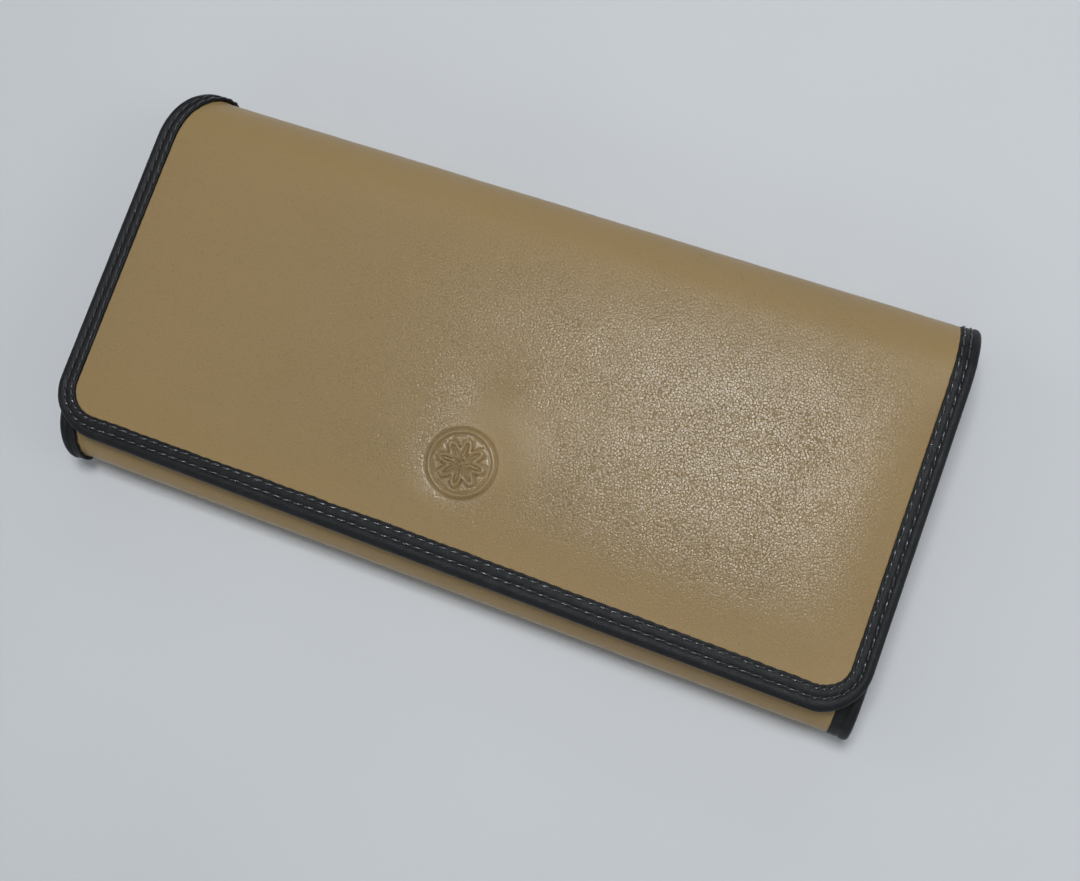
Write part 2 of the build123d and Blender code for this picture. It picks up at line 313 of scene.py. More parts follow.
def sweep(name, rail, body, slot, path, section, closed=False):
    """A closed section carried along a path; section(path) gives each point's distance inward and depth."""
    points, normals, _ = path
    u, depth = section(path)
    ring = place(rail, points[:, :1] + u * normals[:, :1], points[:, 1:] + u * normals[:, 1:], depth)
    if closed:
        ring = ring[:-1]
    rows, cols = ring.shape[:2]
    index = np.arange(rows * cols).reshape(rows, cols)
    ahead = np.roll(index, -1, axis=0)
    run = slice(None) if closed else slice(0, rows - 1)
    faces = quads(index[run], ahead[run], np.roll(ahead, -1, axis=1)[run], np.roll(index, -1, axis=1)[run])
    if not closed:
        faces += [index[0].tolist(), index[-1].tolist()]
    return make_piece(name, ring, faces, slot, body)


def tube_faces(count, rings, sides):
    """Faces of several closed tubes, each with its own rings of points and a cap at both ends."""
    index = np.arange(count * rings * sides).reshape(count, rings, sides)
    beside = np.roll(index, -1, axis=2)
    faces = quads(index[:, :-1], index[:, 1:], beside[:, 1:], beside[:, :-1])
    return faces + index[:, 0].tolist() + index[:, -1].tolist()


THREAD_RINGS = 9
THREAD_SIDES = 6
THREAD_LENGTH = 2.45
THREAD_SLANT = 0.12


def stitch_row(path, rail, inset, depth, side, thick=0.19, spread=False):
    """Points and faces of a row of stitches: short threads that dive into the leather at both ends."""
    points, normals, s = path
    count = int(s[-1] / STITCH)
    middles = (np.arange(count) + 0.5) * s[-1] / count
    t = np.linspace(-1, 1, THREAD_RINGS)
    angle = np.arange(THREAD_SIDES) * math.tau / THREAD_SIDES
    spots = (middles[:, None] + t * THREAD_LENGTH / 2)[:, :, None]
    girth = (thick * np.sqrt(1.04 - t ** 6))[None, :, None]
    rise = (0.18 * (1 - t ** 2) - 0.16 * t ** 8)[None, :, None]
    wander = random_numbers.normal(0, 0.035, (count, 1, 1))
    u = inset + wander + THREAD_SLANT * t[None, :, None] + girth * np.cos(angle)
    if spread:
        centres = (along(middles, s, points), along(middles, s, normals), middles)
        u = u + widen(centres, np.full((count, 1), inset), True)[:, :, None] - inset
    h = depth - side * (rise + girth * np.sin(angle))
    x, v = (np.interp(spots, s, points[:, i]) + u * np.interp(spots, s, normals[:, i]) for i in (0, 1))
    ring = place(rail, x, v, h)
    return ring.reshape(-1, 3), tube_faces(count, THREAD_RINGS, THREAD_SIDES)


def stitching(name, body, slot, rows):
    """One piece from several rows of stitches."""
    all_points, all_faces, start = [], [], 0
    for points, faces in rows:
        all_points.append(points)
        all_faces += [[start + index for index in face] for face in faces]
        start += len(points)
    return make_piece(name, np.concatenate(all_points), all_faces, slot, body)


# ---- Binding: a folded strip with an outer bead and a flat, puckered band, held by two rows of thread ----
BEAD_ROW = 2.1
BAND_ROW = 3.55
# How much wider the outer face lies to the right, and along the free edge at its left and farther right.
SPREAD_RIGHT = 0.06
SPREAD_EDGE = (0.12, 0.2)
# How far the free edge's outer face stands out past the rim.
BINDING_PUSH = 0.3
# Depth of the threads on the outer side (1) and on the inner side (-1).
THREAD_DEPTH = {1: -0.07, -1: BINDING_DEPTH + 0.02}
MID_HEIGHT = -1.35
# Points of the section, each as a distance in from the rim and a height over the outer leather.
OUTER_FACE = [
    (4.24, -0.45), (4.27, -0.2), (4.22, 0.02), (4.08, 0.13), (3.88, 0.15), (3.7, 0.09), (3.55, 0.04),
    (3.4, 0.09), (3.15, 0.15), (2.8, 0.17), (2.5, 0.15), (2.28, 0.08), (2.1, 0.0), (1.93, 0.12), (1.7, 0.27),
    (1.4, 0.36), (1.05, 0.38), (0.7, 0.31), (0.4, 0.14), (0.18, -0.12), (0.05, -0.45), (0.0, -0.85),
    (0.0, MID_HEIGHT),
]
INNER_FACE = [
    (0.0, -1.85), (0.07, -2.3), (0.25, -2.6), (0.6, -2.78), (1.1, -2.85), (1.6, -2.82), (1.93, -2.74),
    (2.1, -2.66), (2.3, -2.74), (2.8, -2.83), (3.3, -2.78), (3.55, -2.68), (3.8, -2.76), (4.05, -2.76),
    (4.2, -2.6), (4.22, -2.35), (4.15, -2.1),
]
SLOT = [(3.2, -2.04), (1.35, -2.0), (1.2, -1.85), (1.2, -0.85), (1.35, -0.7), (3.2, -0.62)]
# How much of the cut edge's waviness a point takes up, by its distance in from the rim.
WAVY = (3.55, 3.7, 3.8, 3.88, 4.05, 4.08, 4.15), (0.0, 0.1, 0.3, 0.4, 0.7, 0.8, 1.0)


def widen(path, u, outer):
    """The binding's outer face lies a little wider along the free edge and to the right than on the left."""
    points, normals, _ = path
    share = 1.0 + SPREAD_RIGHT * smooth((points[:, 0] + HALF) / 20)
    edge_share = SPREAD_EDGE[0] + SPREAD_EDGE[1] * smooth((points[:, 0] + HALF) / 100)
    share = share + edge_share * normals[:, 1] ** 2
    push = BINDING_PUSH * normals[:, 1] ** 2
    return np.where(outer, u * share[:, None] - push[:, None], u)


def binding_section(path):
    """The binding's section along a path. The thread draws its inner edge and band in at each stitch."""
    s = path[2]
    u, height = np.array(OUTER_FACE + INNER_FACE + SLOT).T
    edge = np.interp(u, *WAVY)
    phase = np.cos(math.tau * s / STITCH)[:, None]
    knots = np.arange(0, s[-1] + 8, 4.0)
    uneven = np.interp(s, knots, random_numbers.normal(0, 0.05, len(knots)))[:, None]
    sewn = np.exp(-((u - BAND_ROW) / 0.45) ** 2) + np.exp(-((u - BEAD_ROW) / 0.4) ** 2)
    outer = height > MID_HEIGHT
    side = np.where(outer, 1.0, -1.0)
    shown = (np.abs(height - MID_HEIGHT) > 1.0) & (u > 0.3)
    pucker = 0.04 * sewn * phase * shown * side
    swell = 0.5 * uneven * np.exp(-((u - 1.1) / 0.8) ** 2) * shown * side
    return widen(path, u + edge * (0.05 * phase + uneven), outer), -(height - pucker + swell)


def up_to(path, limit):
    """The part of a path that is no farther than a limit from the panel's free edge."""
    points, normals, s = path
    near = points[:, 1] <= limit
    return points[near], normals[near], s[near] - s[near][0]


def bind(name, rail, body, corner, *nodes):
    """Binds a panel's three free edges. The bottom fold's outer face has no thread."""
    path = route([(-HALF, rail.length), (-HALF, 0), (HALF, 0), (HALF, rail.length)], corner)
    piece = sweep(name, rail, body, "binding_leather", path, binding_section)
    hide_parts(*nodes)
    sewn = up_to(path, FRONT_FLAT) if rail is FRONT else path
    rows = [stitch_row(run, rail, inset, THREAD_DEPTH[side], side, spread=side > 0)
            for run, side in ((sewn, 1), (path, -1)) for inset in (BEAD_ROW, BAND_ROW)]
    stitching(name.replace("binding", "stitching"), body, "binding_thread", rows)


def bind_back():
    """Binds the back's two ends. The left path runs down from the top fold, and the right one up to it."""
    for name, side in (("left", -1), ("right", 1)):
        points, _, s = route([(side * HALF, BACK.length), (side * HALF, 0.0)], 0.0)
        path = (points[::side], np.tile([-side, 0.0], (len(points), 1)), s)
        piece = sweep(f"back_edge_{name}", BACK, "back", "binding_leather", path, binding_section)
        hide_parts(f"back_binding_{name}")
        rows = [stitch_row(path, BACK, inset, THREAD_DEPTH[face], face)
                for face in (1, -1) for inset in (BEAD_ROW, BAND_ROW)]
        stitching(f"back_edge_thread_{name}", "back", "binding_thread", rows)


# ---- Outer leather ----
# The swell's waves, each with a length, the way it runs and a phase.
WAVES = [(random_numbers.uniform(16, 60), *random_numbers.uniform(0, math.tau, 2)) for _ in range(9)]
SWELL = 0.014
LOBES, LOBE_RADIUS, LOBE_RISE = 8, 4.0, 1.05
RING_RADIUS = 7.1
DOT_RADIUS = 1.1
COVER_EDGE = 3.0


def soft_waves(x, v):
    """Slow uneven swell of worn leather, less than 0.1 mm either way."""
    total = 0
    for length, turn, phase in WAVES:
        across = x * math.cos(turn) + v * math.sin(turn)
        total = total + np.sin(math.tau * across / length + phase) * length / 60
    return total * SWELL


def strand(distance):
    """Depth across a raised strand with a pressed groove on each side of it."""
    return 0.4 * np.exp(-((distance - 0.7) / 0.28) ** 2) - 0.46 * np.exp(-(distance / 0.42) ** 2)


def motif(x, v):
    """Depth of a plain pressed motif: an eight-lobed strand and a dot inside a ring."""
    dx, dy = x - MOTIF[0], v - MOTIF[1]
    r, turn = np.hypot(dx, dy), np.arctan2(dy, dx)
    lobes = LOBE_RADIUS + LOBE_RISE * np.cos(LOBES * turn)
    slope = LOBES * LOBE_RISE * np.sin(LOBES * turn) / np.maximum(r, 0.5)
    line = np.abs(r - lobes) / np.sqrt(1 + slope ** 2)
    dot = 0.2 * np.exp(-(r / DOT_RADIUS) ** 4)
    relief = strand(line) + strand(np.abs(r - RING_RADIUS)) - dot
    return relief * smooth((8.3 - r) / 0.5) + 0.12 * smooth((8.6 - r) / 1.6)


def held(inset):
    """How firmly the binding holds the leather: 0 clear of it and 1 under it."""
    return smooth((TUCK_START - inset) / (TUCK_START - TUCK_END))


def tuck(inset):
    """How far leather drops to pass under the binding."""
    return TUCKED * held(inset)


def crown(x, v, inset):
    """How far the flap's soft middle stands proud of its edges."""
    rolled = 1 - np.clip((inset - BINDING_WIDTH) / 11, 0, 1)
    across = 1 - np.clip(np.abs(x) / HALF, 0, 1) ** 4
    up = np.clip((v - BINDING_WIDTH) / 30, 0, 1)
    up = up * (2 - up) * smooth((FLAP_FLAT + 6 - v) / 26)
    return (0.9 * (1 - rolled ** 2) + 0.5 * across) * up


def flap_outer(x, v, inset):
    """Depth of the flap's face: soft dents by the middle, the motif, and the tuck under the binding."""
    y = FLAP_EDGE[0] + v * math.cos(SLANT)
    fade = smooth((inset - 5) / 12) * smooth((FLAP.length - v) / 20)
    dents = 0.6 * mound(x, y, (0.5, -18.5), (10.5, 10.5), steep=4)
    dents = dents + 0.45 * mound(x, y, (-1, -3), (7, 7)) - 0.15 * mound(x, y, (15, -11), (9, 7), 40)
    return fade * (dents + soft_waves(x, v)) + motif(x, v) + tuck(inset) - crown(x, v, inset)


def front_outer(x, v, inset):
    """Depth of the front's face, with a seat for the press stud."""
    stud = np.hypot(x - STUD[0], v - STUD[1])
    fade = smooth((inset - 5) / 10)
    seat = 0.55 * smooth((5.4 - stud) / 0.5)
    return seat + 0.5 * fade * soft_waves(x + 30, v) + tuck(inset) - 0.05 * fade


def plain_outer(x, v, inset):
    return tuck(inset)


def flat_at(depth):
    def surface(x, v, inset):
        return np.full(np.shape(x), depth)
    return surface


def lining_inner(x, v, inset):
    """A lining's open face, which thins where the binding holds it."""
    return STACK - (STACK - LINING_HELD) * held(inset)


def lines_across(edge, reach, step, fine, *windows):
    """Places across the wallet from edge in at one side to the other, finer for a reach in from both."""
    low = HALF - edge
    return grid_lines(-low, low, step, (-low, reach - low, fine), (low - reach, low, fine), *windows)


def about(middle, reach, fine):
    """A window of finer places on both sides of a middle."""
    return middle - reach, middle + reach, fine


def make_outer_leather():
    base = flat_at(LEATHER)
    bound = 3.2
    xs = lines_across(COVER_EDGE, bound, 1.0, 0.17, about(0, MOTIF_REACH, 0.21))
    vs = grid_lines(COVER_EDGE, FLAP.length, 1.0, (COVER_EDGE, COVER_EDGE + bound, 0.17),
                    about(MOTIF[1], MOTIF_REACH, 0.21))
    piece = sheet("flap_cover", FLAP, ("back", "flap"), "outer_leather", xs, vs, flap_outer, base,
                  FLAP_CORNER)
    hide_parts("flap_leather", "top_fold_leather")
    xs = lines_across(COVER_EDGE, bound, 1.2, 0.2, about(0, SNAP_REACH, 0.3))
    vs = grid_lines(COVER_EDGE, FRONT.length, 1.2, (COVER_EDGE, COVER_EDGE + bound, 0.2),
                    about(STUD[1], SNAP_REACH, 0.3))
    piece = sheet("front_cover", FRONT, ("back", "front"), "outer_leather", xs, vs, front_outer, base,
                  FRONT_CORNER)
    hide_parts("front_leather", "bottom_fold_leather")
    xs = lines_across(COVER_EDGE, bound, 2.0, 0.2)
    vs = grid_lines(0.0, BACK.length, 2.0)
    piece = sheet("back_cover", BACK, "back", "outer_leather", xs, vs, plain_outer, base)
    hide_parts("back_leather")


def make_linings():
    base = flat_at(LINING)
    bound = 6.0
    xs = lines_across(HELD, bound - HELD, 2.0, 0.3, about(0, SNAP_REACH, 0.6))
    vs = grid_lines(HELD, FLAP.length, 2.0, (HELD, bound, 0.3), about(SOCKET[1], SNAP_REACH, 0.6))
    piece = sheet("flap_inside", FLAP, ("back", "flap"), "lining_leather", xs, vs, base, lining_inner,
                  FLAP_CORNER, hole=(*SOCKET, 5.2))
    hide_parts("flap_lining", "top_fold_lining")
    xs = lines_across(HELD, bound, 2.0, 0.3)
    vs = grid_lines(HELD, FRONT.length, 2.0, (HELD, bound, 0.3))
    piece = sheet("front_inside", FRONT, ("back", "front"), "lining_leather", xs, vs, base, lining_inner,
                  FRONT_CORNER)
    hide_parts("front_lining", "bottom_fold_lining")
    vs = grid_lines(0.0, BACK.length, 2.0)
    piece = sheet("back_inside", BACK, "back", "lining_leather", xs, vs, base, lining_inner)
    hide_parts("back_lining")


EASED = 0.8


def plate(name, rail, body, slot, x, v, depths, round_over=0.18, groove=None):
    """A leather piece with eased edges over a rectangle of a rail's plan, and a crease at v = groove."""
    windows = [((low, low + EASED, 0.1), (high - EASED, high, 0.1)) for low, high in (x, v)]
    crossing = () if groove is None else (about(groove, EASED, 0.12),)
    xs = grid_lines(*x, 2.0, *windows[0])
    vs = grid_lines(*v, 2.0, *windows[1], *crossing)
    gx, gv = np.meshgrid(xs, vs, indexing="ij")
    edge = np.minimum(np.minimum(gx - x[0], x[1] - gx), np.minimum(gv - v[0], v[1] - gv))
    ease = round_over * (1 - np.sqrt(np.clip(edge / (2 * round_over), 0, 1)))
    open_face, hidden_face = depths
    side = 1 if open_face > hidden_face else -1
    crease = 0 if groove is None else 0.1 * np.exp(-((gv - groove) / 0.28) ** 2)
    upper = place(rail, gx, gv, open_face - side * (ease + crease))
    lower = place(rail, gx, gv, hidden_face + side * ease * 0.3)
    return make_piece(name, *slab(upper, lower), slot, body)


SLOT_THICK = 0.5
SLOT_HEM = 1.6
SLOT_SEAMS = (-79.0, -2.0, 2.0, 79.0)
INNER_THREAD = 0.17


def make_card_slots():
    """Stepped card slots. Each is a strip with a creased hem along its mouth."""
    panels = ("back", BACK, 3, 1.0, 0.0), ("front", FRONT, 2, math.cos(SLANT), 0.1)
    for panel, rail, steps, run, trim in panels:
        start = rail.line[0, 0]
        for side in ("left", "right"):
            for step in range(1, steps + 1):
                node = f"{panel}_card_slot_{side}_{step}"
                low, high = box_mm(node)
                depth = STACK + SLOT_THICK * (step - 1)
                v = ((start - high[1]) / run + trim, (start - low[1]) / run - trim)
                piece = plate(f"{node}_hemmed", rail, panel, "inner_leather", (low[0], high[0]), v,
                              (depth + SLOT_THICK, depth), groove=v[0] + SLOT_HEM)
                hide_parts(node)
    rows = []
    for x in SLOT_SEAMS:
        path = route([(x, 6.0), (x, BACK.length - 2.0)], 0.0)
        rows.append(stitch_row(path, BACK, 0.0, STACK + 3 * SLOT_THICK + 0.03, -1, thick=INNER_THREAD))
    stitching("card_slot_stitching", "back", "inner_thread", rows)


# ---- Gussets ----
GUSSET_MARGIN = 0.5
GUSSET_THICK = 0.48


def make_gussets():
    """A soft pleat at each end, between the bindings of the back and the front."""
    for side, name in ((-1, "left"), (1, "right")):
        low, high = box_mm(f"gusset_{name}")
        outer = max(abs(low[0]), abs(high[0])) - GUSSET_MARGIN
        inner = min(abs(low[0]), abs(high[0])) + GUSSET_MARGIN
        ys = np.linspace(low[1], high[1], 30)
        top = BOTTOM_HEIGHT + (ys - BOTTOM_Y) * math.tan(SLANT) - BINDING_DEPTH / math.cos(SLANT)
        base = BINDING_DEPTH
        t = np.linspace(-1, 1, 41)
        fold = np.sqrt(t ** 2 + 0.004) - 0.06
        x = inner + (outer - inner) * fold / fold.max()
        z = base + (top[:, None] - base) * (t + 1) / 2
        wave = 0.25 * np.sin(ys / 7.0)[:, None] * (1 - t ** 2)
        slope = np.gradient(x, t)
        lean = np.hypot(slope, (top - base)[:, None] / 2)
        nx, nz = (top - base)[:, None] / 2 / lean, -slope / lean
        faces = []
        for shift in (GUSSET_THICK / 2, -GUSSET_THICK / 2):
            px = side * (x + wave + shift * nx)
            pz = z + shift * nz
            faces.append(metres(px, ys[:, None], pz))
        piece = make_piece(f"gusset_pleat_{name}", *slab(*faces), "inner_leather", ("back", "front"))
        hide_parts(f"gusset_{name}")


# ---- Coin pocket and zip ----
LEVEL_TOP = 40.0
SEAM_INSET = 1.3
BAND_FOOT = 30.0


def level(height):
    """A flat rail at one height, with v measured down from LEVEL_TOP, for pieces that lie level."""
    return Rail([(LEVEL_TOP, height), (-60.0, height)], 1)


def down_to(*ys):
    return tuple(LEVEL_TOP - y for y in ys)


def rim_section(height):
    """The pocket's soft side wall: a folded strip, round on the outside."""
    turn = np.linspace(-math.pi / 2, math.pi / 2, 9)
    u = np.concatenate([0.5 - 0.5 * np.cos(turn), [1.1, 1.1]])
    depth = np.concatenate([-height / 2 * np.sin(turn), [-height / 2, height / 2]])

    def section(path):
        return np.tile(u, (len(path[2]), 1)), np.tile(depth, (len(path[2]), 1))
    return section


def make_pocket():
    """The zipped pocket's two panels, the band above its zip, the side wall between them, and its seams."""
    low, high = box_mm("coin_pocket_rear")
    panel_low, panel_high = box_mm("coin_pocket_front")
    wall = panel_high[2] - panel_low[2]
    base, top = low[2] + wall, panel_low[2]
    x = (low[0], high[0])
    v = down_to(high[1], low[1])
    dress = "coin_pocket", "inner_leather"
    rear = plate("coin_pocket_back_panel", level(base), *dress, x, v, (0.0, wall))
    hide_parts("coin_pocket_rear")
    corners = [(x[0], v[0]), (x[0], v[1]), (x[1], v[1]), (x[1], v[0])]
    points, normals, s = route(corners, 2.0, closed=True, step=1.0)
    inward = -normals if normals[0, 0] * points[0, 0] > 0 else normals
    sweep("coin_pocket_side_wall", level((base + top) / 2), *dress, (points, inward, s),
          rim_section(top - base), closed=True)
    mouth, foot = down_to(panel_high[1], panel_low[1])
    panel = plate("coin_pocket_front_panel", level(top), *dress, x, (mouth, foot), (-wall, 0.0),
                  groove=mouth + 3.4)
    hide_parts("coin_pocket_front")
    plate("coin_pocket_top_band", level(top), *dress, x, (v[0], *down_to(BAND_FOOT)), (-wall, 0.0))
    left, right = x[0] + SEAM_INSET, x[1] - SEAM_INSET
    head, hem, start, bottom = v[0] + 0.9, mouth + SEAM_INSET, mouth + 2.2, foot - SEAM_INSET
    seams = [
        route([(left, hem), (right, hem)], 0.0),
        route([(left, start), (left, bottom), (right, bottom), (right, start)], 3.0),
        route([(left, head), (right, head)], 0.0),
    ]
    rows = [stitch_row(seam, level(top), 0.0, -wall + 0.02, 1, thick=INNER_THREAD) for seam in seams]
    stitching("coin_pocket_stitching", "coin_pocket", "inner_thread", rows)


# A tooth from its clamp on the tape to its nose, as shares of its reach, half length and half height.
TOOTH = [
    (-0.06, 0.6, 0.66), (-0.02, 0.86, 0.9), (0.08, 0.98, 1.0), (0.4, 1.0, 1.0), (0.52, 0.76, 0.86),
    (0.66, 0.7, 0.76), (0.78, 0.9, 0.84), (0.9, 0.94, 0.82), (0.97, 0.8, 0.7), (1.0, 0.5, 0.45),
]
STOP = [
    (-0.04, 0.8, 0.7), (0.04, 0.96, 0.95), (0.2, 1.0, 1.0), (0.8, 1.0, 1.0), (0.96, 0.96, 0.95),
    (1.0, 0.8, 0.7),
]
TOOTH_PITCH = 2.0
TOOTH_LENGTH = 0.9
STOP_LENGTH = 2.4


def knobs(spans, root, tip, heights, rings):
    """Points and faces of rounded metal blocks, one for each span of X, from a root to a tip in Y."""
    angle = np.arange(16) * math.tau / 16
    square = [np.sign(wave) * np.sqrt(np.abs(wave)) for wave in (np.cos(angle), np.sin(angle))]
    share, long, tall = np.array(rings).T[:, :, None]
    spans = np.array(spans)[:, :, None, None]
    x = (spans[:, 0] + spans[:, 1]) / 2 + (spans[:, 1] - spans[:, 0]) / 2 * long * square[0]
    y = root + (tip - root) * share
    z = sum(heights) / 2 + (heights[1] - heights[0]) / 2 * tall * square[1]
    ring = metres(x, y, z)
    return ring.reshape(-1, 3), tube_faces(*ring.shape[:3])


def part_zip(piece):
    """Gives a piece of the zip a mesh of its own."""
    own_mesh(piece)


def make_teeth():
    """Two rows of rounded teeth that mesh, each with its top stop, and one bottom stop across both."""
    stops_low, stops_high = box_mm("zip_stops")
    heights = stops_low[2], stops_high[2]
    top_stop = [(stops_high[0] - STOP_LENGTH, stops_high[0])]
    for name in ("lower", "upper"):
        low, high = box_mm(f"zip_teeth_{name}")
        root, tip = (low[1], high[1]) if name == "lower" else (high[1], low[1])
        starts = np.arange(low[0], high[0] - TOOTH_LENGTH / 2, TOOTH_PITCH)
        teeth = knobs(np.column_stack([starts, starts + TOOTH_LENGTH]), root, tip, heights, TOOTH)
        stop = knobs(top_stop, root, (root + tip) / 2 + (tip - root) * 0.08, heights, STOP)
        piece = stitching(f"zip_tooth_row_{name}", "coin_pocket", "zip_metal", [teeth, stop])
        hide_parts(f"zip_teeth_{name}")
        part_zip(piece)
    bottom = knobs([(stops_low[0], stops_low[0] + STOP_LENGTH)], stops_low[1], stops_high[1], heights, STOP)
    piece = stitching("zip_bottom_stop", "coin_pocket", "zip_metal", [bottom])
    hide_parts("zip_stops")


def make_tapes():
    """Woven tapes with a corded edge by the teeth."""
    for name, cord in (("lower", 1), ("upper", -1)):
        low, high = box_mm(f"zip_tape_{name}")
        xs = grid_lines(low[0], high[0], 0.5)
        ys = grid_lines(low[1], high[1], 0.15)
        gx, gy = np.meshgrid(xs, ys, indexing="ij")
        from_cord = high[1] - gy if cord > 0 else gy - low[1]
        rib = 0.05 * np.cos(math.tau * gx + math.tau * gy / 1.4)
        bulge = 0.15 * np.exp(-((from_cord - 0.45) / 0.38) ** 2)
        faces = metres(gx, gy, high[2] + rib + bulge - 0.04), metres(gx, gy, low[2] - bulge + 0.04)
        piece = make_piece(f"zip_woven_tape_{name}", *slab(*faces), "zip_tape", "coin_pocket")
        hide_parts(f"zip_tape_{name}")
        part_zip(piece)


def soften(piece, width):
    """Rounds the hard edges of a CAD node with a bevel."""
    bevel = piece.modifiers.new("eased_edges", "BEVEL")
    bevel.width = width * MM
    bevel.segments = 3
    bevel.limit_method = "ANGLE"
    bevel.angle_limit = math.radians(40)
    bevel.harden_normals = True


# CAD nodes that stay, by material, with the width of each one's eased edges.
HARD_PARTS = {
    "zip_metal": {"zip_slider": 0.12, "zip_puller": 0.1},
    "snap_metal": {"snap_stud": 0.15, "snap_stud_post": 0.08, "snap_socket": 0.2, "snap_spring": 0.0,
                   "snap_socket_post": 0.08},
    "stiffener_board": {"back_stiffener": 0.0, "front_stiffener": 0.0, "flap_stiffener": 0.0},
}


def finish_hard_parts():
    for slot, widths in HARD_PARTS.items():
        for node, width in widths.items():
            piece = frame["nodes"][node]
            piece.data.materials.clear()
            piece.data.materials.append(MATERIALS[slot])
            if width:
                soften(piece, width)


# ---- Materials ----


class Shader:
    """A Principled material whose pattern is measured in millimetres of the object's own space."""

    def __init__(self, name):
        self.material = bpy.data.materials.new(name)
        self.material.use_nodes = True
        self.tree = self.material.node_tree
        self.surface = self.tree.nodes["Principled BSDF"]
        here = self.node("ShaderNodeTexCoord", {}).outputs["Object"]
        self.space = self.vector("SCALE", {0: here, "Scale": 1 / MM}).outputs[0]
        MATERIALS[name] = self.material

    def feed(self, socket, value):
        """Links a socket to another node's output, or sets it to a plain value."""
        if isinstance(value, bpy.types.NodeSocket):
            self.tree.links.new(value, socket)
        else:
            socket.default_value = value

    def node(self, kind, inputs, **settings):
        node = self.tree.nodes.new(kind)
        for key, value in settings.items():
            setattr(node, key, value)
        for key, value in inputs.items():
            self.feed(node.inputs[key], value)
        return node

    def vector(self, operation, inputs):
        return self.node("ShaderNodeVectorMath", inputs, operation=operation)

    def noise(self, size, detail=2.0, roughness=0.5):
        """Noise from 0 to 1 whose features are about size millimetres across."""
        inputs = {"Vector": self.space, "Scale": 1 / size, "Detail": detail, "Roughness": roughness}
        return self.node("ShaderNodeTexNoise", inputs).outputs["Fac"]

    def cells(self, size, feature="DISTANCE_TO_EDGE", vector=None):
        inputs = {"Vector": vector or self.space, "Scale": 1 / size}
        return self.node("ShaderNodeTexVoronoi", inputs, feature=feature).outputs["Distance"]

    def remap(self, value, low, high, to_low=0.0, to_high=1.0):
        inputs = {"Value": value, "From Min": low, "From Max": high, "To Min": to_low, "To Max": to_high}
        return self.node("ShaderNodeMapRange", inputs).outputs["Result"]

    def math(self, operation, a, b):
        return self.node("ShaderNodeMath", {0: a, 1: b}, operation=operation).outputs[0]

    def times(self, a, b):
        return self.math("MULTIPLY", a, b)

    def plus(self, a, b):
        return self.math("ADD", a, b)

    def mix(self, share, a, b):
        return self.node("ShaderNodeMix", {0: share, 6: a, 7: b}, data_type="RGBA").outputs[2]

    def away_from(self, spot):
        """Distance from a spot in millimetres."""
        return self.vector("DISTANCE", {0: self.space, 1: spot}).outputs["Value"]

    def axis(self, name):
        return self.node("ShaderNodeSeparateXYZ", {0: self.space}).outputs[name]

    def bump(self, height, distance, strength=1.0, below=None):
        inputs = {"Height": height, "Distance": distance * MM, "Strength": strength}
        if below is not None:
            inputs["Normal"] = below
        return self.node("ShaderNodeBump", inputs).outputs["Normal"]

    def finish(self, colour, roughness, normal=None, **values):
        values.update({"Base Color": colour, "Roughness": roughness})
        if normal is not None:
            values["Normal"] = normal
        for key, value in values.items():
            self.feed(self.surface.inputs[key.replace("_", " ")], value)


RECORD_COLOURS = {row["slot"]: tuple(row["base_color"]) for row in frame["record"]["materials"]}


def tone(slot, factor=1.0, shift=(1.0, 1.0, 1.0)):
    return tuple(c * factor * s for c, s in zip(RECORD_COLOURS[slot], shift)) + (1.0,)


def dimmed(colour, factor):
    return tuple(c * factor for c in colour[:3]) + (1.0,)


